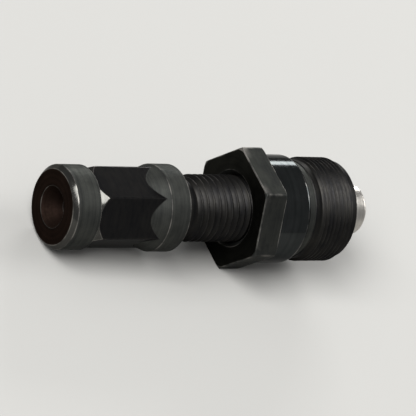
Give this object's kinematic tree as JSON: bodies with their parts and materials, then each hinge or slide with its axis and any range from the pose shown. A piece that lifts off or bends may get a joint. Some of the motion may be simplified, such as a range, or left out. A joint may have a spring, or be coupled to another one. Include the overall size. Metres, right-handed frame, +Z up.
{
  "type": "bicycle crank puller",
  "caption": "Threaded body with a hexagon and collar, through which a hexagon-headed screw spindle presses a swivelling tip against an axle to pull a crank arm off.",
  "frame": {"origin": "on the tool's axis where the crank thread starts, at the relief groove's far wall", "axes": "+X along the axis from the spindle's head to its tip, +Z up, away from the flat of the body's hexagon that it lies on"},
  "size_m": [0.0766, 0.0266, 0.023],
  "materials": {
    "body_steel": "black oxide, glossy on the turned collar",
    "spindle_steel": "black oxide, satin, worn bright on its edges",
    "tip_steel": "turned, hardened, bare",
    "ball_steel": "ground and polished bearing steel",
    "spring_steel": "drawn spring wire"
  },
  "bodies": {
    "body": {"puller_body": "body_steel"},
    "ball": {"thrust_ball": "ball_steel"},
    "spindle": {"drive_spindle": "spindle_steel"},
    "tip": {"swivel_tip": "tip_steel", "retaining_ring": "spring_steel"}
  },
  "joints": [
    {"name": "screw_travel", "type": "slide", "parent": "body", "child": "ball", "axis": [1, 0, 0], "range_m": [-0.012, 0.015]},
    {"name": "spindle_turn", "type": "hinge", "parent": "ball", "child": "spindle", "pos_m": [0, 0, 0], "axis": [1, 0, 0], "range_deg": [-2880, 3600]},
    {"name": "tip_swivel", "type": "hinge", "parent": "spindle", "child": "tip", "pos_m": [0, 0, 0], "axis": [1, 0, 0], "continuous": true}
  ],
  "couplings": [
    {"joint": "screw_travel", "follows": "spindle_turn", "m_per_rad": 0.00023873}
  ]
}
